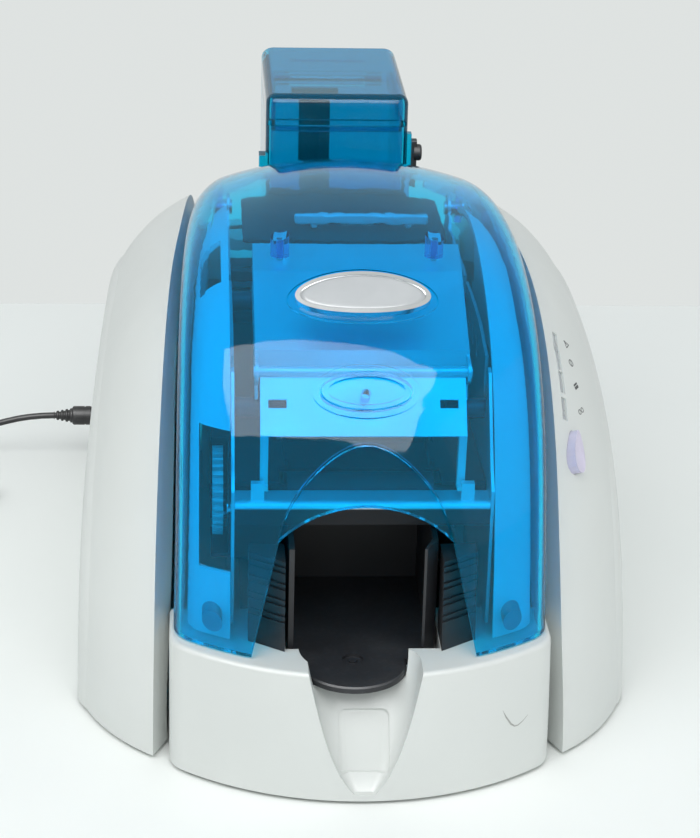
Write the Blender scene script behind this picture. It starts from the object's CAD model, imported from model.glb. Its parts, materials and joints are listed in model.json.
# %% [markdown]
# A desktop card printer. The real one is a set of moulded pieces: two white wings, a white
# front and rear, and a clear blue cover over a steel frame with rollers and gears. The packed
# model already holds every piece at its place, so this file adds finishes, a lead that lies
# on the table, and the small bent, printed and moulded pieces that solids are too plain for.
# The boxes printed first and last tell whether anything here left the space of the solids.

# %% Load the printer's frame
import json
import math

import bmesh
import bpy
from mathutils import Matrix, Vector
from mathutils.bvhtree import BVHTree


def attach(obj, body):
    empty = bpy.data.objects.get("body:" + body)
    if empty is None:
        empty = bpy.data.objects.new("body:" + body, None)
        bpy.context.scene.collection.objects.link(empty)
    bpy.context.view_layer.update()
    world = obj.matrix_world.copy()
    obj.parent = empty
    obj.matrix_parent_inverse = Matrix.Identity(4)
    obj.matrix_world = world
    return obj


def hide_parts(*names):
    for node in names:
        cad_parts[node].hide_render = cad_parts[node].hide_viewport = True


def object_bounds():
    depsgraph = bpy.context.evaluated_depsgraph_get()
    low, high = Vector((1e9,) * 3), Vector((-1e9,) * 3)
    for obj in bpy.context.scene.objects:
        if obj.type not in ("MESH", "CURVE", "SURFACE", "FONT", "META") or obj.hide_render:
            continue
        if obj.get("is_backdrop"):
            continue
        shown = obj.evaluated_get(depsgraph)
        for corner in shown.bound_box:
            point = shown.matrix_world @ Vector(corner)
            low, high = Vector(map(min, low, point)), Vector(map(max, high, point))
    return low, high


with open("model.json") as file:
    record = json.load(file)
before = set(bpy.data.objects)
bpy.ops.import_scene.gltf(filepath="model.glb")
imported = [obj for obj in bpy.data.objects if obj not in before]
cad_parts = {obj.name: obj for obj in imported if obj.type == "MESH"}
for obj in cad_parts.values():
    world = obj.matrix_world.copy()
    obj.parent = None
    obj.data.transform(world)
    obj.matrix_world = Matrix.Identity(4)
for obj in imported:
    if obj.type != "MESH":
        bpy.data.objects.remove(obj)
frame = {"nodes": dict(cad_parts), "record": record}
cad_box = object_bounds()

MM = 0.001
FRONT_MM = 181.0
nodes = frame["nodes"]
print("pieces in the frame:", len(nodes), "box:", [[round(v, 4) for v in corner] for corner in cad_box])

# %% [markdown]
# The camera stands in front of the printer and looks down on it. Its place was fitted to the
# outlines of the wings, the cover and the feeder, so a lens of about 107 mm on a 36 mm frame
# shows them as the photograph does. Heading, tilt and roll are written apart, because they
# are what someone would turn on a tripod.

# %% Camera at the photograph's view
eye = Vector((-0.06457, -0.98208, 0.48912))
heading, tilt, roll = 0.0689, 0.39295, 0.02705
look = Vector((math.sin(heading) * math.cos(tilt), math.cos(heading) * math.cos(tilt), -math.sin(tilt)))
level = Vector((math.cos(heading), -math.sin(heading), 0.0))
upright = level.cross(look)
right = level * math.cos(roll) + upright * math.sin(roll)
above = upright * math.cos(roll) - level * math.sin(roll)
camera_data = bpy.data.cameras.new("front_view")
LENS_MM, SENSOR_MM = 106.84, 36
camera_data.lens = LENS_MM
camera_data.clip_start = 0.05
camera = bpy.data.objects.new("front_view", camera_data)
camera.matrix_world = Matrix((
    (right.x, above.x, -look.x, eye.x),
    (right.y, above.y, -look.y, eye.y),
    (right.z, above.z, -look.z, eye.z),
    (0.0, 0.0, 0.0, 1.0),
))
bpy.context.scene.collection.objects.link(camera)
bpy.context.scene.camera = camera
PIXELS_WIDE, PIXELS_HIGH = 700, 838
FOCAL_PIXELS = LENS_MM / SENSOR_MM * PIXELS_HIGH


def sight_line(across, down):
    """The direction in which a pixel of the photograph is seen from the camera."""
    x = (across - PIXELS_WIDE / 2) / FOCAL_PIXELS
    y = (PIXELS_HIGH / 2 - down) / FOCAL_PIXELS
    return (look + right * x + above * y).normalized()


print("camera height", round(eye.z, 3), "m, tilt", round(math.degrees(tilt), 1), "degrees")

# %% [markdown]
# The lead is a thin round cable. It leaves the plug at the rear left, drops to the table and
# runs out of the picture, where the rest of its length lies in a tied coil. A mesh tube could
# be bent point by point, but one curve with a round bevel keeps its thickness in every turn
# and gives the even, springy line of a cable. The run and the tail are laid by hand, and the
# coil between them comes from a formula, so all three are one spline.

# %% The lead's route and coil
LEAD_RADIUS_MM = 1.5
lead_run_mm = [
    (-131.8, 149.0, 21.0), (-143.8, 149.0, 21.0), (-165.4, 150.5, 14.4), (-189.4, 151.1, 6.9),
    (-211.0, 150.8, 3.4), (-232.6, 149.0, 2.65),
]
lead_tail_mm = [(-237.4, 100.0, 13.15), (-218.2, 99.0, 10.6), (-199.0, 97.0, 5.0), (-187.0, 97.0, 5.0)]
coil_middle_x = -251.8
outward = [110.5, 138.5, 107.0, 142.0, 103.5, 145.5, 100.0]
inward = [103.5, 145.5, 107.0, 142.0, 110.5, 138.5, 114.0]
coil_crossings = [149.0] + inward + [135.0] + outward + [149.0] + inward + [135.0] + outward
POINTS_PER_HALF_TURN = 9
HALF_TURNS_PER_LAYER = 8
FIRST_LAYER_Z, LAYER_STEP = 2.65, 3.5


def coil_points():
    """Half turns between crossings of the coil's middle line; the last one of a layer climbs to the next."""
    points, height = [], FIRST_LAYER_Z
    for k, (start, end) in enumerate(zip(coil_crossings, coil_crossings[1:])):
        step = math.pi / POINTS_PER_HALF_TURN
        radius = abs(end - start) / 2 / math.cos(step / 2)
        climbs = k % HALF_TURNS_PER_LAYER == HALF_TURNS_PER_LAYER - 1
        side = -1 if k % 2 == 0 else 1
        for i in range(POINTS_PER_HALF_TURN):
            turn = (i + 0.5) * step
            rise = LAYER_STEP * (i + 0.5) / POINTS_PER_HALF_TURN if climbs else 0.0
            x = coil_middle_x + side * radius * math.sin(turn)
            y = (start + end) / 2 + (start - end) / 2 / math.cos(step / 2) * math.cos(turn)
            points.append((x, y, height + rise))
        height += LAYER_STEP if climbs else 0.0
    return points


lead_mm = lead_run_mm + coil_points() + lead_tail_mm
lead_curve = bpy.data.curves.new("dc_lead", "CURVE")
lead_curve.dimensions = "3D"
lead_curve.bevel_depth = 1.0
lead_curve.bevel_resolution = 3
lead_curve.resolution_u = 4
lead_curve.use_fill_caps = True
spline = lead_curve.splines.new("NURBS")
spline.points.add(len(lead_mm) - 1)
for point, place in zip(spline.points, lead_mm):
    point.co = (place[0] * MM, place[1] * MM, place[2] * MM, 1.0)
    point.radius = LEAD_RADIUS_MM * MM
spline.order_u = 3
spline.use_endpoint_u = True
dc_lead = bpy.data.objects.new("dc_lead", lead_curve)
bpy.context.scene.collection.objects.link(dc_lead)
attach(dc_lead, "printer")
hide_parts("lead_run", "lead_coil")
print("points along the lead:", len(lead_mm))

# %% [markdown]
# Pieces made here start as lists of points and faces, because that keeps every size in the
# text where a modifier stack would hide it. One helper turns them into an object, smooths its
# faces and gives it a thin rounded edge, as no moulded or pressed piece has a knife edge. A
# second one turns a profile about an axis, and a third answers where a line meets a piece.

# %% Helpers for meshes
collection = bpy.context.scene.collection
SAME_POINT = 1e-7
EDGE_ANGLE = math.radians(35)


def piece_from(name, points, faces, body, smooth=True, edge=0.0):
    """One closed piece that rides on a body; edge is the width of its rounded edges in metres."""
    mesh = bpy.data.meshes.new(name)
    mesh.from_pydata([tuple(p) for p in points], [], faces)
    work = bmesh.new()
    work.from_mesh(mesh)
    bmesh.ops.remove_doubles(work, verts=work.verts, dist=SAME_POINT)
    bmesh.ops.recalc_face_normals(work, faces=work.faces)
    work.to_mesh(mesh)
    work.free()
    piece = bpy.data.objects.new(name, mesh)
    collection.objects.link(piece)
    if smooth:
        for face in mesh.polygons:
            face.use_smooth = True
    if edge:
        bevel = piece.modifiers.new("round_edge", "BEVEL")
        bevel.width = edge
        bevel.segments = 2
        bevel.limit_method = "ANGLE"
        bevel.angle_limit = EDGE_ANGLE
        bevel.harden_normals = True
    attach(piece, body)
    return piece


def turned_along_x(name, profile, y, z, body, sides=48):
    """A turned piece: profile is a list of (x, radius) in mm along an axis at y, z."""
    points, faces = [], []
    for x, radius in profile:
        for s in range(sides):
            a = math.tau * s / sides
            points.append((x * MM, (y + radius * math.cos(a)) * MM, (z + radius * math.sin(a)) * MM))
    rows = len(profile)
    for r in range(rows - 1):
        for s in range(sides):
            t = (s + 1) % sides
            faces.append((r * sides + s, r * sides + t, (r + 1) * sides + t, (r + 1) * sides + s))
    faces.append(tuple(range(sides)))
    faces.append(tuple(range((rows - 1) * sides, rows * sides)))
    return piece_from(name, points, faces, body)


def tree_of(node):
    """A search tree of a node's faces, which rays can be cast against."""
    mesh = nodes[node].data
    corners = [vertex.co.copy() for vertex in mesh.vertices]
    return BVHTree.FromPolygons(corners, [tuple(face.vertices) for face in mesh.polygons])


# %% [markdown]
# Where the lead enters its plug, a soft sleeve with ribs keeps it from kinking. A plain cone
# would do, but ribs are what the eye knows it by, and a bump in the material would leave its
# outline smooth. So the sleeve is turned from a profile whose radius steps in and out while
# it narrows towards the cable.

# %% The ribbed sleeve on the plug
PLUG_Y, PLUG_Z = 149.0, 21.0
SLEEVE_RADIUS, RIBS, RIB_STEP, RIB_TAPER = 3.6, 4, 2.2, 0.42
sleeve_profile = [(-122.7, SLEEVE_RADIUS)]
for rib in range(RIBS):
    start = -122.8 - rib * RIB_STEP
    ridge = SLEEVE_RADIUS - rib * RIB_TAPER
    sleeve_profile += [(start - 0.1, ridge), (start - 1.0, ridge - 0.12)]
    sleeve_profile += [(start - 1.25, ridge - 0.85), (start - 1.95, ridge - 0.95)]
sleeve_profile += [(-131.6, 1.95), (-131.8, 1.75)]
plug_sleeve = turned_along_x("plug_sleeve", sleeve_profile, PLUG_Y, PLUG_Z, "printer")
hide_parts("plug_strain_relief")
print("sleeve rings:", len(sleeve_profile))

# %% [markdown]
# Under the roof a dark sheet hides the works, and the ribbon's reader shows on it as one
# bright bar. The sheet is bent up at the rear and narrower there, because the cover's edge
# comes down past it when the cover opens. A plane with thickness added would do for a flat
# sheet. This one follows a short line of heights and half widths, as a press bends it, and
# stands on two legs of a cross piece between the side plates.

# %% The ribbon's reader and its dark guard
guard_line_mm = [
    (8.6, 157.8, 41.5), (10.2, 157.8, 43.0), (68.0, 157.8, 43.0), (71.5, 157.8, 40.0), (73.0, 157.8, 31.0),
    (75.6, 157.8, 31.0), (76.6, 158.1, 31.0), (77.1, 158.9, 31.0), (77.2, 160.9, 30.0),
]
GUARD_SHEET_MM = 1.4
GUARD_EDGE, CARRIER_EDGE, READER_EDGE = 0.0003, 0.0005, 0.0009


def bent_sheet(name, line, sheet, body, columns=12):
    """A sheet that follows a line of (y, z, half width) and is as thick as said."""
    points, faces = [], []
    for k, (y, z, half) in enumerate(line):
        before, after = line[max(k - 1, 0)], line[min(k + 1, len(line) - 1)]
        run = Vector((after[0] - before[0], after[1] - before[1])).normalized()
        for layer in (-0.5, 0.5):
            for c in range(columns + 1):
                x = half * (2 * c / columns - 1)
                points.append((x * MM, (y - run.y * layer * sheet) * MM, (z + run.x * layer * sheet) * MM))
    row = columns + 1
    for k in range(len(line) - 1):
        low, high = k * 2 * row, (k + 1) * 2 * row
        for c in range(columns):
            faces.append((low + c, low + c + 1, high + c + 1, high + c))
            faces.append((low + row + c, high + row + c, high + row + c + 1, low + row + c + 1))
        faces.append((low, high, high + row, low + row))
        faces.append((low + columns, low + row + columns, high + row + columns, high + columns))
    for c in range(columns):
        last = (len(line) - 1) * 2 * row
        faces.append((c, row + c, row + c + 1, c + 1))
        faces.append((last + c, last + c + 1, last + row + c + 1, last + row + c))
    return piece_from(name, points, faces, body, edge=GUARD_EDGE)


def blocks(name, boxes_mm, body, edge):
    """Closed blocks in one mesh, with rounded edges; each is its lowest and highest corner."""
    sides = ((3, 2, 1, 0), (4, 5, 6, 7), (0, 1, 5, 4), (1, 2, 6, 5), (2, 3, 7, 6), (3, 0, 4, 7))
    points, faces = [], []
    for low, high in boxes_mm:
        start = len(points)
        ring = ((low[0], low[1]), (high[0], low[1]), (high[0], high[1]), (low[0], high[1]))
        points += [(x * MM, y * MM, z * MM) for z in (low[2], high[2]) for x, y in ring]
        faces += [[start + i for i in side] for side in sides]
    return piece_from(name, points, faces, body, smooth=False, edge=edge)


guard = bent_sheet("ribbon_guard", guard_line_mm, GUARD_SHEET_MM, "printer")
cross_piece = ((-48.1, 8.6, 140.0), (48.1, 13.4, 145.0))
carrier_legs = [((x, 9.0, 144.9), (x + 5.0, 13.0, 157.1)) for x in (20.5, -25.5)]
carrier_blocks = [cross_piece] + carrier_legs
carrier = blocks("ribbon_reader_carrier", carrier_blocks, "printer", CARRIER_EDGE)
reader_bar = ((-21.0, 24.5, 160.2), (36.0, 28.3, 164.4))
reader_feet = [((x, 25.2, 158.5), (x + 3.0, 27.6, 160.4)) for x in (-14.0, 26.0)]
reader = blocks("ribbon_reader", [reader_bar] + reader_feet, "printer", READER_EDGE)
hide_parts("ribbon_sensor_bar")
print("guard:", [round(v * 1000, 1) for v in guard.dimensions], "mm")

# %% [markdown]
# The badge on the cover is a bright oval rim with a pale field inside it. The field could be
# a colour on the badge, but it is a pressed plate of its own, a little higher in the middle,
# and its edge catches the light. Rays cast on the badge find its curve, and the field's rings
# of points lie on that curve. It stays bare, as this model carries no print.

# %% The badge's pale field
badge_lean = math.radians(61.5)
badge_middle = Vector((0.0, (80.3 - FRONT_MM) * MM, 174.1 * MM))
badge_out = Vector((0.0, -math.cos(badge_lean), math.sin(badge_lean)))
badge_up = Vector((0.0, math.sin(badge_lean), math.cos(badge_lean)))
badge_tree = tree_of("badge")
BADGE_HALF_WIDE, BADGE_HALF_HIGH, BADGE_RIM, RIM_GAP = 25.7, 10.4, 1.8, 0.25
FIELD_SEAT_MM, FIELD_SHEET_MM, FIELD_DOME_MM = 0.05, 0.25, 0.35
RAY_START_MM = 12


def badge_field(half_wide, half_high, rings=10, sides=72):
    """A domed oval plate on the badge: a lower and an upper layer of rings, closed at the edge."""
    points, faces = [], []
    for layer in (0, 1):
        for r in range(rings + 1):
            share = r / rings
            for s in range(sides):
                a = math.tau * s / sides
                wide = Vector((half_wide * share * math.cos(a), 0, 0)) * MM
                flat = badge_middle + wide + badge_up * half_high * share * math.sin(a) * MM
                hit, _, _, _ = badge_tree.ray_cast(flat + badge_out * RAY_START_MM * MM, -badge_out)
                place = hit if hit is not None else flat
                crown = (FIELD_SHEET_MM + FIELD_DOME_MM * (1 - share ** 2)) * MM
                rolled_edge = 1 - max(0, share - 0.94) * 6
                lift = FIELD_SEAT_MM * MM if layer == 0 else crown * rolled_edge
                points.append(place + badge_out * lift)
    upper = (rings + 1) * sides
    for r in range(rings):
        inner, outer = r * sides, (r + 1) * sides
        for s in range(sides):
            t = (s + 1) % sides
            faces.append((upper + inner + s, upper + inner + t, upper + outer + t, upper + outer + s))
            faces.append((inner + s, outer + s, outer + t, inner + t))
    last = rings * sides
    for s in range(sides):
        t = (s + 1) % sides
        faces.append((last + s, upper + last + s, upper + last + t, last + t))
    return piece_from("badge_field", points, faces, "cover")


field = badge_field(BADGE_HALF_WIDE - BADGE_RIM - RIM_GAP, BADGE_HALF_HIGH - BADGE_RIM - RIM_GAP)
print("badge field:", [round(v * 1000, 1) for v in field.dimensions], "mm")

# %% [markdown]
# Beside the lamps on the right wing are four small printed signs. They are generic shapes
# here: a triangle, a ring with a bar, a card and two rings. Ink is thin, so each sign is a
# flat patch laid a twentieth of a millimetre above the wing, and no picture is wrapped on it.
# Each is placed by the line of sight through the photograph, with its corners on the wing.

# %% Printed signs on the right wing
wing_tree = tree_of("right_side_panel")
INK_LIFTS_MM = (0.01, 0.06)


def ring_outline(x, y, outer, inner, sides=28):
    """A flat ring as a row of four-sided patches."""
    quads = []
    for s in range(sides):
        a, b = math.tau * s / sides, math.tau * (s + 1) / sides
        corners = ((outer, a), (outer, b), (inner, b), (inner, a))
        quads.append([(x + radius * math.cos(turn), y + radius * math.sin(turn)) for radius, turn in corners])
    return quads


def bar(x0, y0, x1, y1, width):
    """A flat bar from one point to another, as a row of one patch."""
    run = Vector((x1 - x0, y1 - y0)).normalized() * width / 2
    across = Vector((-run.y, run.x))
    a, b = Vector((x0, y0)), Vector((x1, y1))
    return [[tuple(a + across), tuple(b + across), tuple(b - across), tuple(a - across)]]


STROKE_MM = 0.4
triangle = bar(-1.7, -1.2, 1.7, -1.2, STROKE_MM) + bar(1.7, -1.2, 0, 1.7, STROKE_MM)
triangle += bar(0, 1.7, -1.7, -1.2, STROKE_MM) + bar(0, -0.5, 0, 0.6, STROKE_MM)
signs = {
    "sign_triangle": ((566, 344), triangle),
    "sign_ring_bar": ((571, 363), ring_outline(0, 0, 1.6, 1.2) + bar(-1.1, -1.1, 1.1, 1.1, STROKE_MM)),
    "sign_card": ((576, 386), bar(-1.7, 0.7, 1.7, 0.7, 0.8) + bar(-1.7, -0.6, 1.7, -0.6, 1.2)),
    "sign_two_rings": ((581, 411), ring_outline(-1.2, 0, 1.1, 0.75) + ring_outline(1.2, 0, 1.1, 0.75)),
}


def printed_sign(name, pixel, quads):
    """The patches of one sign, laid upright on the wing where the pixel's line of sight meets it."""
    hit, normal, _, _ = wing_tree.ray_cast(eye, sight_line(*pixel))
    tall = (Vector((0, 0, 1)) - normal * normal.z).normalized()
    wide = tall.cross(normal).normalized()
    points, faces = [], []
    for quad in quads:
        start = len(points)
        for lift in INK_LIFTS_MM:
            for x, y in quad:
                spot = hit + wide * x * MM + tall * y * MM
                on, up, _, _ = wing_tree.find_nearest(spot)
                points.append(on + up * lift * MM)
        n = len(quad)
        faces.append([start + n + i for i in range(n)])
        faces.append([start + i for i in reversed(range(n))])
        for i in range(n):
            j = (i + 1) % n
            faces.append([start + i, start + j, start + n + j, start + n + i])
    return piece_from(name, points, faces, "printer", smooth=False)


printed = [printed_sign(name, pixel, quads) for name, (pixel, quads) in signs.items()]
print("signs:", [p.name for p in printed])

# %% [markdown]
# The front has one curved scratch, low on its right. A mask in the finish could draw it, but
# its place is known in the photograph, so it is a thin strip through a few of its pixels with
# a width at each. The points are dropped on the housing, and it tapers at both ends.

# %% The scratch on the front
housing_tree = tree_of("front_housing")
scratch_pixels = [
    (502.8, 710.5, 0.1), (506, 717, 0.6), (511, 724, 0.75), (514.5, 726, 0.6), (518, 725, 0.45),
    (522.5, 721, 0.35), (528, 714.5, 0.1),
]
SCRATCH_LIFTS_MM = (0.005, 0.035)


def scratch(name, line):
    """A thin strip on the housing through points of (across, down, width in mm)."""
    places = []
    for across, down, width in line:
        hit, normal, _, _ = housing_tree.ray_cast(eye, sight_line(across, down))
        places.append((hit, normal, width))
    points, faces = [], []
    for k, (hit, normal, width) in enumerate(places):
        run = places[min(k + 1, len(places) - 1)][0] - places[max(k - 1, 0)][0]
        side = normal.cross(run).normalized() * width / 2 * MM
        for lift in SCRATCH_LIFTS_MM:
            points += [hit - side + normal * lift * MM, hit + side + normal * lift * MM]
    for k in range(len(places) - 1):
        a, b = k * 4, k * 4 + 4
        faces += [(a + 2, a + 3, b + 3, b + 2), (a + 1, a, b, b + 1)]
        faces += [(a, a + 2, b + 2, b), (a + 3, a + 1, b + 1, b + 3)]
    last = (len(places) - 1) * 4
    faces += [(0, 1, 3, 2), (last + 1, last, last + 2, last + 3)]
    return piece_from(name, points, faces, "printer", smooth=False)


mark = scratch("front_scratch", scratch_pixels)
print("scratch:", len(scratch_pixels), "points,", len(mark.data.polygons), "faces")

# %% [markdown]
# Four effects come back on many finishes: the fine grain of a mould, edges rubbed shiny or
# dull, dust that settles on what faces up, and smudges from hands. They could be built anew
# in each material, but then a change would be made many times. So each is a group with named
# inputs, built once. It puts out a normal, a mask or a roughness, and never a shader.

# %% Helpers for node groups


def new_group(name, inputs, outputs):
    """An empty group with its sockets, and the place on the piece that its noises read."""
    group = bpy.data.node_groups.new(name, "ShaderNodeTree")
    for label, value in inputs:
        socket = group.interface.new_socket(name=label, in_out="INPUT", socket_type="NodeSocketFloat")
        socket.default_value = value
    for label, kind in outputs:
        group.interface.new_socket(name=label, in_out="OUTPUT", socket_type=kind)
    start = group.nodes.new("NodeGroupInput")
    end = group.nodes.new("NodeGroupOutput")
    place = group.nodes.new("ShaderNodeTexCoord").outputs["Object"]
    return group, start, end, place


def noise(group, place, scale, detail=3.0):
    """A noise over the piece; the scale is a number or a socket."""
    node = group.nodes.new("ShaderNodeTexNoise")
    node.inputs["Detail"].default_value = detail
    group.links.new(place, node.inputs["Vector"])
    if isinstance(scale, (int, float)):
        node.inputs["Scale"].default_value = scale
    else:
        group.links.new(scale, node.inputs["Scale"])
    return node.outputs["Fac"]


def remap(group, value, low, high):
    """A value stretched so that low becomes 0 and high becomes 1."""
    node = group.nodes.new("ShaderNodeMapRange")
    for label, number in (("From Min", low), ("From Max", high), ("To Min", 0.0), ("To Max", 1.0)):
        node.inputs[label].default_value = number
    group.links.new(value, node.inputs["Value"])
    return node.outputs["Result"]


def combine(group, operation, first, second):
    """Two values joined by one step of arithmetic, such as MULTIPLY or MAXIMUM."""
    node = group.nodes.new("ShaderNodeMath")
    node.operation = operation
    group.links.new(first, node.inputs[0])
    group.links.new(second, node.inputs[1])
    return node.outputs["Value"]


# %% Shared effects as node groups
GRAIN_INPUTS = [("Scale", 1800.0), ("Depth", 0.1)]
grain_group, start, end, place = new_group("mould_grain", GRAIN_INPUTS, [("Normal", "NodeSocketVector")])
bump = grain_group.nodes.new("ShaderNodeBump")
bump.inputs["Distance"].default_value = 0.0001
grain_group.links.new(noise(grain_group, place, start.outputs["Scale"], 2.0), bump.inputs["Height"])
grain_group.links.new(start.outputs["Depth"], bump.inputs["Strength"])
grain_group.links.new(bump.outputs["Normal"], end.inputs["Normal"])

MASK_OUTPUT = [("Mask", "NodeSocketFloat")]
edge_group, start, end, place = new_group("rubbed_edges", [("Amount", 0.5)], MASK_OUTPUT)
geometry = edge_group.nodes.new("ShaderNodeNewGeometry")
sharp = remap(edge_group, geometry.outputs["Pointiness"], 0.52, 0.62)
patchy = remap(edge_group, noise(edge_group, place, 90.0), 0.42, 0.6)
rubbed = combine(edge_group, "MULTIPLY", sharp, patchy)
edge_group.links.new(combine(edge_group, "MULTIPLY", rubbed, start.outputs["Amount"]), end.inputs["Mask"])

dust_group, start, end, place = new_group("settled_dust", [("Amount", 0.3)], MASK_OUTPUT)
geometry = dust_group.nodes.new("ShaderNodeNewGeometry")
axes = dust_group.nodes.new("ShaderNodeSeparateXYZ")
dust_group.links.new(geometry.outputs["Normal"], axes.inputs["Vector"])
facing_up = remap(dust_group, axes.outputs["Z"], 0.35, 1.0)
specks = remap(dust_group, noise(dust_group, place, 600.0, 4.0), 0.5, 0.75)
settled = combine(dust_group, "MULTIPLY", facing_up, specks)
dust_group.links.new(combine(dust_group, "MULTIPLY", settled, start.outputs["Amount"]), end.inputs["Mask"])

SMUDGE_INPUTS = [("Scale", 35.0), ("Low", 0.3), ("High", 0.5)]
smudge_group, start, end, place = new_group("hand_smudges", SMUDGE_INPUTS, [("Roughness", "NodeSocketFloat")])
cloudy = noise(smudge_group, place, start.outputs["Scale"], 5.0)
spread = smudge_group.nodes.new("ShaderNodeMapRange")
spread.inputs["From Min"].default_value = 0.35
spread.inputs["From Max"].default_value = 0.7
smudge_group.links.new(cloudy, spread.inputs["Value"])
smudge_group.links.new(start.outputs["Low"], spread.inputs["To Min"])
smudge_group.links.new(start.outputs["High"], spread.inputs["To Max"])
smudge_group.links.new(spread.outputs["Result"], end.inputs["Roughness"])
print("groups:", [g.name for g in bpy.data.node_groups])

# %% [markdown]
# A finish is one material per slot of the record, and a few pieces have one of their own.
# Each starts from a Principled shader and places the groups with its own numbers. One flat
# colour would be simpler, but a moulded or rolled surface never has one, so a slow noise
# mixes two near tones.

# %% Helpers for finishes
OPAQUE_SMUDGES, CLEAR_SMUDGES = 35.0, 24.0
SHADED_STEEL = (0.012, 0.012, 0.014)


def new_finish(name):
    """A new material with its node tree and shader."""
    material = bpy.data.materials.new(name)
    material.use_nodes = True
    tree = material.node_tree
    return material, tree, tree.nodes["Principled BSDF"]


def place_group(tree, group, **values):
    """A shared effect placed in a material with its own numbers."""
    node = tree.nodes.new("ShaderNodeGroup")
    node.node_tree = group
    for label, value in values.items():
        node.inputs[label].default_value = value
    return node


def mixed(tree, mask, first, second):
    """A colour that runs from first to second with the mask; each is a triple or a socket."""
    node = tree.nodes.new("ShaderNodeMix")
    node.data_type = "RGBA"
    tree.links.new(mask, node.inputs["Factor"])
    for socket, colour in ((node.inputs["A"], first), (node.inputs["B"], second)):
        if isinstance(colour, tuple):
            socket.default_value = (*colour, 1.0)
        else:
            tree.links.new(colour, socket)
    return node.outputs["Result"]


def two_tone(tree, scale, first, second):
    """A colour that drifts between two near tones."""
    place = tree.nodes.new("ShaderNodeTexCoord").outputs["Object"]
    return mixed(tree, remap(tree, noise(tree, place, scale, 4.0), 0.35, 0.65), first, second)


def surface(name, tones, tone_scale, rough, grain, edge=None, dust=None, metallic=0.0, dark_below=None):
    """An opaque finish: two near tones, grain, smudged roughness, and edge wear and dust where asked for."""
    material, tree, shader = new_finish(name)
    colour = two_tone(tree, tone_scale, *tones)
    if edge:
        colour = mixed(tree, place_group(tree, edge_group, Amount=edge[0]).outputs["Mask"], colour, edge[1])
    if dust:
        colour = mixed(tree, place_group(tree, dust_group, Amount=dust[0]).outputs["Mask"], colour, dust[1])
    if dark_below:
        axes = tree.nodes.new("ShaderNodeSeparateXYZ")
        tree.links.new(tree.nodes.new("ShaderNodeTexCoord").outputs["Object"], axes.inputs["Vector"])
        colour = mixed(tree, remap(tree, axes.outputs["Z"], *dark_below), SHADED_STEEL, colour)
    tree.links.new(colour, shader.inputs["Base Color"])
    shader.inputs["Metallic"].default_value = metallic
    smudges = place_group(tree, smudge_group, Scale=OPAQUE_SMUDGES, Low=rough[0], High=rough[1])
    tree.links.new(smudges.outputs["Roughness"], shader.inputs["Roughness"])
    moulded = place_group(tree, grain_group, Scale=grain[0], Depth=grain[1])
    tree.links.new(moulded.outputs["Normal"], shader.inputs["Normal"])
    return material


def clear(name, tones, tone_scale, rough, share, ior):
    """A see-through finish: the colour tints what is behind it, and a small share scatters back as haze."""
    material, tree, shader = new_finish(name)
    tree.links.new(two_tone(tree, tone_scale, *tones), shader.inputs["Base Color"])
    shader.inputs["Transmission Weight"].default_value = share
    shader.inputs["IOR"].default_value = ior
    smudges = place_group(tree, smudge_group, Scale=CLEAR_SMUDGES, Low=rough[0], High=rough[1])
    tree.links.new(smudges.outputs["Roughness"], shader.inputs["Roughness"])
    return material


# %% [markdown]
# The cover is clear blue and polished, so it tints the works and mirrors the window. A
# plastic's true index near 1.5 would also mirror the pale room and veil the works, which the
# photograph doesn't show, so the cover's is lower. The feeder's plastic reads as teal. The
# lamp windows and the lilac button are cloudier, and scatter more of their own colour.

# %% Clear plastics
finishes = {}
PLASTIC_INDEX, COVER_INDEX, FEEDER_INDEX = 1.5, 1.25, 1.26
cover_tones = ((0.001, 0.595, 0.95), (0.002, 0.625, 0.965))
finishes["clear_blue"] = clear(
    "clear_blue", cover_tones, tone_scale=8.0, rough=(0.02, 0.05), share=0.96, ior=COVER_INDEX,
)
feeder_tones = ((0.004, 0.47, 0.71), (0.008, 0.50, 0.74))
finishes["teal_clear"] = clear(
    "teal_clear", feeder_tones, tone_scale=8.0, rough=(0.03, 0.06), share=0.94, ior=FEEDER_INDEX,
)
lamp_tones = ((0.75, 0.80, 0.82), (0.80, 0.84, 0.86))
finishes["lamp_clear"] = clear(
    "lamp_clear", lamp_tones, tone_scale=300.0, rough=(0.25, 0.35), share=0.6, ior=PLASTIC_INDEX,
)
lilac_tones = ((0.86, 0.82, 0.98), (0.90, 0.86, 1.0))
finishes["lilac_clear"] = clear(
    "lilac_clear", lilac_tones, tone_scale=120.0, rough=(0.12, 0.2), share=0.45, ior=PLASTIC_INDEX,
)
print("clear plastics:", sorted(finishes))

# %% [markdown]
# The white shell is a finely grained plastic, a cool pale grey rather than pure white. A plain
# colour would look like paper, so it has the mould's grain, edges that hands have rubbed, and
# a trace of dust. The hopper's black has the same in darker tones. The shrouds under the
# cover are whiter than the shell, because blue plastic takes much of their light away.

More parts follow.
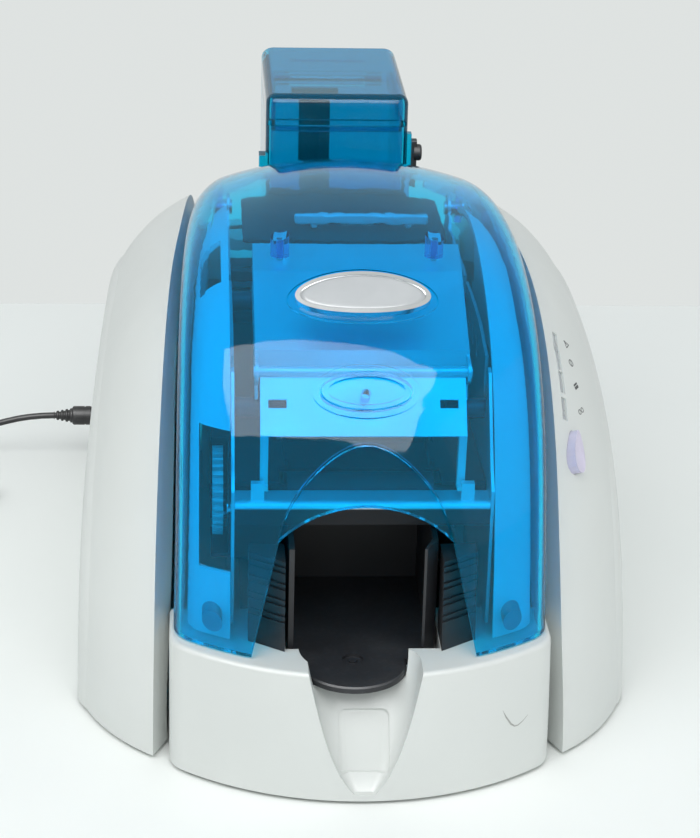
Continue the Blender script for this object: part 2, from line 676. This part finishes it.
# %% Opaque plastics
finishes["white_shell"] = surface(
    "white_shell", ((0.605, 0.63, 0.61), (0.63, 0.655, 0.635)),
    tone_scale=14.0, rough=(0.42, 0.55), grain=(2200.0, 0.12),
    edge=(0.35, (0.55, 0.56, 0.55)), dust=(0.12, (0.6, 0.59, 0.56)),
)
finishes["black_plastic"] = surface(
    "black_plastic", ((0.008, 0.009, 0.012), (0.012, 0.014, 0.018)),
    tone_scale=40.0, rough=(0.45, 0.58), grain=(2600.0, 0.2),
    edge=(0.3, (0.035, 0.037, 0.04)), dust=(0.12, (0.10, 0.10, 0.11)),
)
finishes["gear_plastic"] = surface(
    "gear_plastic", ((0.62, 0.64, 0.62), (0.70, 0.72, 0.70)),
    tone_scale=60.0, rough=(0.35, 0.5), grain=(1500.0, 0.08),
    edge=(0.3, (0.4, 0.41, 0.4)),
)
finishes["shroud_white"] = surface(
    "shroud_white", ((0.84, 0.85, 0.85), (0.88, 0.89, 0.89)),
    tone_scale=14.0, rough=(0.4, 0.5), grain=(2200.0, 0.1),
)
finishes["pad_grey"] = surface(
    "pad_grey", ((0.34, 0.36, 0.38), (0.38, 0.40, 0.42)),
    tone_scale=90.0, rough=(0.6, 0.75), grain=(2000.0, 0.3),
)
print("finishes after the plastics:", len(finishes))

# %% [markdown]
# Inside are rolled steel plates and turned shafts. They are seen through the blue cover, so
# their brightness and shine count more than their grain. The front cross bar is a bent strip
# whose lower flange lies in shadow. A lamp could be kept off it, but a colour that turns dark
# under the bend does the same at every pose.

# %% Metals
CROSS_BAR_BEND = (0.0984, 0.0992)
finishes["sheet_steel"] = surface(
    "sheet_steel", ((0.80, 0.81, 0.82), (0.86, 0.87, 0.88)),
    tone_scale=30.0, rough=(0.40, 0.52), grain=(900.0, 0.08),
    edge=(0.4, (0.93, 0.93, 0.93)), metallic=0.85,
)
finishes["steel"] = surface(
    "steel", ((0.58, 0.58, 0.58), (0.68, 0.68, 0.68)),
    tone_scale=80.0, rough=(0.16, 0.3), grain=(1400.0, 0.05), metallic=1.0,
)
finishes["aluminium"] = surface(
    "aluminium", ((0.74, 0.75, 0.77), (0.82, 0.83, 0.84)),
    tone_scale=50.0, rough=(0.3, 0.42), grain=(1200.0, 0.08), metallic=1.0,
)
finishes["badge_metal"] = surface(
    "badge_metal", ((0.66, 0.68, 0.69), (0.74, 0.75, 0.76)),
    tone_scale=60.0, rough=(0.14, 0.24), grain=(1600.0, 0.04), metallic=1.0,
)
finishes["bright_zinc"] = surface(
    "bright_zinc", ((0.88, 0.89, 0.90), (0.93, 0.94, 0.95)),
    tone_scale=30.0, rough=(0.45, 0.55), grain=(900.0, 0.08), metallic=0.35,
)
cross_bar_finish = surface(
    "cross_bar_finish", ((0.86, 0.87, 0.88), (0.92, 0.93, 0.94)),
    tone_scale=30.0, rough=(0.4, 0.5), grain=(900.0, 0.08),
    metallic=0.6, dark_below=CROSS_BAR_BEND,
)
print("finishes after the metals:", len(finishes))

# %% [markdown]
# Rubber, cable, ribbon and boards are all dark, and what tells them apart is how they shine:
# rubber hardly at all, a cable's jacket a little, the ribbon's film like silk. So they share
# the one helper and differ in roughness, grain and dust.

# %% Rubbers, film and boards
finishes["roller_rubber"] = surface(
    "roller_rubber", ((0.030, 0.030, 0.032), (0.045, 0.045, 0.047)),
    tone_scale=70.0, rough=(0.6, 0.75), grain=(2400.0, 0.3),
)
finishes["soft_rubber"] = surface(
    "soft_rubber", ((0.020, 0.020, 0.022), (0.030, 0.030, 0.032)),
    tone_scale=90.0, rough=(0.6, 0.8), grain=(2000.0, 0.3),
    dust=(0.3, (0.2, 0.2, 0.2)),
)
finishes["cord_black"] = surface(
    "cord_black", ((0.012, 0.012, 0.013), (0.020, 0.020, 0.021)),
    tone_scale=200.0, rough=(0.42, 0.55), grain=(3000.0, 0.2),
    dust=(0.25, (0.15, 0.15, 0.15)),
)
finishes["ribbon_film"] = surface(
    "ribbon_film", ((0.045, 0.030, 0.050), (0.060, 0.040, 0.060)),
    tone_scale=12.0, rough=(0.2, 0.3), grain=(700.0, 0.05),
)
finishes["circuit_green"] = surface(
    "circuit_green", ((0.012, 0.090, 0.045), (0.020, 0.120, 0.060)),
    tone_scale=400.0, rough=(0.3, 0.45), grain=(900.0, 0.25),
)
print("finishes:", sorted(finishes))

# %% [markdown]
# The record says which slot each piece of the frame takes its finish from, so the finishes
# are handed out from it. A piece that differs from the others of its slot is given its own
# finish after that, and so are the pieces made here.

# %% Hand the finishes out
for part in frame["record"]["subparts"]:
    carried = nodes[part["node"]]
    carried.data.materials.clear()
    carried.data.materials.append(finishes[part["material_slot"]])

own_finish = {
    "feeder_box": finishes["teal_clear"],
    "feeder_lid": finishes["teal_clear"],
    "bumper_pads": finishes["pad_grey"],
    "left_inner_shroud": finishes["shroud_white"],
    "right_inner_shroud": finishes["shroud_white"],
    "front_cross_bar": cross_bar_finish,
}
for name, finish in own_finish.items():
    nodes[name].data.materials[0] = finish

# %% Finishes of the pieces made here
field_finish = surface(
    "badge_field_paint", ((0.44, 0.46, 0.47), (0.50, 0.52, 0.53)),
    tone_scale=40.0, rough=(0.18, 0.28), grain=(1500.0, 0.03),
)
ink = surface(
    "sign_ink", ((0.045, 0.047, 0.05), (0.07, 0.072, 0.075)),
    tone_scale=300.0, rough=(0.45, 0.6), grain=(2600.0, 0.1),
)
scuffed = surface(
    "scuffed_grey", ((0.30, 0.31, 0.29), (0.36, 0.37, 0.35)),
    tone_scale=400.0, rough=(0.6, 0.75), grain=(2600.0, 0.2),
)
made_here = [
    (guard, finishes["black_plastic"]),
    (carrier, finishes["black_plastic"]),
    (reader, finishes["bright_zinc"]),
    (dc_lead, finishes["cord_black"]),
    (plug_sleeve, finishes["cord_black"]),
    (field, field_finish),
    (mark, scuffed),
] + [(sign, ink) for sign in printed]
for piece, finish in made_here:
    piece.data.materials.append(finish)
print("finishes handed to", len(made_here), "pieces made here")

# %% [markdown]
# The table is a plain pale plane that ends where the photograph's table meets the wall. The
# wall could be a second plane, but that would throw light back on the printer. So it is the
# world's own colour, which only the camera, mirrors and glass get to see, while all other
# rays see an even, cool light.

# %% Table
TABLE_END = (548 - FRONT_MM) * MM
TABLE_HALF = 2.5
front_corners = [(-TABLE_HALF, -TABLE_HALF, 0), (TABLE_HALF, -TABLE_HALF, 0)]
rear_corners = [(TABLE_HALF, TABLE_END, 0), (-TABLE_HALF, TABLE_END, 0)]
floor_mesh = bpy.data.meshes.new("table")
floor_mesh.from_pydata(front_corners + rear_corners, [], [(0, 1, 2, 3)])
table = bpy.data.objects.new("table", floor_mesh)
collection.objects.link(table)
table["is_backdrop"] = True
pale_table = surface(
    "pale_table", ((0.83, 0.86, 0.835), (0.85, 0.875, 0.85)),
    tone_scale=3.0, rough=(0.5, 0.6), grain=(500.0, 0.02),
)
table.data.materials.append(pale_table)
print("table ends", round(TABLE_END, 3), "m behind the middle of the printer")

# %% Wall and room light
world = bpy.data.worlds.new("soft_room")
bpy.context.scene.world = world
world.use_nodes = True
links, room = world.node_tree.links, world.node_tree.nodes
ambient = room["Background"]
ambient.inputs["Color"].default_value = (0.93, 0.97, 1.0, 1.0)
ambient.inputs["Strength"].default_value = 0.6
wall = room.new("ShaderNodeBackground")
wall.inputs["Color"].default_value = (0.735, 0.765, 0.755, 1.0)
path = room.new("ShaderNodeLightPath")
chosen = room.new("ShaderNodeMixShader")
camera_ray, glossy_ray = path.outputs["Is Camera Ray"], path.outputs["Is Glossy Ray"]
seen_or_mirrored = combine(world.node_tree, "MAXIMUM", camera_ray, glossy_ray)
any_look = combine(world.node_tree, "MAXIMUM", seen_or_mirrored, path.outputs["Is Transmission Ray"])
links.new(any_look, chosen.inputs["Fac"])
links.new(ambient.outputs["Background"], chosen.inputs[1])
links.new(wall.outputs["Background"], chosen.inputs[2])
links.new(chosen.outputs["Shader"], room["World Output"].inputs["Surface"])
print("room light:", ambient.inputs["Strength"].default_value)

# %% [markdown]
# The photograph's main light is one large window, and the cover shows its mirror image as a
# pale patch with straight edges. A painted patch would stay put when the cover opens, so the
# window is a real lamp, turned and placed until its image fell where it was photographed. A
# second lamp in the same place only shows in mirrors, which makes the patch as bright as it
# should be without more light on the shell. A weak one on the right fills the far wing.

# %% Lamps
WINDOW_WIDE, WINDOW_HIGH, WINDOW_AWAY = 2.53, 1.27, 1.6
WINDOW_RADIANCE, GLINT_RADIANCE = 2.25, 8.0
GLINT_GAP = 0.01
COVER_MIDDLE = Vector((0.0, -0.12, 0.14))


def soft_lamp(name, place, target, size, power):
    """A soft rectangle of light that faces its target."""
    data = bpy.data.lights.new(name, "AREA")
    data.shape = "RECTANGLE"
    data.size, data.size_y = size
    data.energy = power
    lamp = bpy.data.objects.new(name, data)
    lamp.location = place
    lamp.rotation_euler = (Vector(target) - Vector(place)).to_track_quat("-Z", "Y").to_euler()
    collection.objects.link(lamp)
    return lamp


def window_lamp(name, radiance, gap):
    """The window, turned so that its mirror image lies on the cover as photographed."""
    out = Vector((-0.18, -0.43, 0.885)).normalized()
    side = Vector((0.9603, -0.2719, 0.0632)).normalized()
    rise = out.cross(side)
    centre = COVER_MIDDLE + out * (WINDOW_AWAY - gap) + side * 0.015 - rise * 0.195
    power = radiance * WINDOW_WIDE * WINDOW_HIGH * math.pi
    lamp = soft_lamp(name, centre, centre - out, (WINDOW_WIDE, WINDOW_HIGH), power)
    lamp.rotation_euler = Matrix((side, rise, out)).transposed().to_euler()
    return lamp


window_lamp("window", WINDOW_RADIANCE, 0.0)
glint = window_lamp("window_glint", GLINT_RADIANCE, GLINT_GAP)
glint.visible_diffuse = False
glint.visible_transmission = False
soft_lamp("fill_right", place=(2.2, -0.9, 0.9), target=(0.0, 0.0, 0.1), size=(2.4, 1.8), power=7.0)
bpy.context.scene.view_settings.view_transform = "Standard"
print("lamps:", [o.name for o in collection.all_objects if o.type == "LIGHT"])

# %% [markdown]
# The dressed model must fill the same box as the frame, and a piece that strayed would be
# hard to see in a render. So both boxes are measured and kept side by side.

# %% Measure and finish
looks_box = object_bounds()
differences = [abs(a - b) for p, q in zip(cad_box, looks_box) for a, b in zip(p, q)]
print("largest difference of the boxes:", round(max(differences) / MM, 2), "mm")
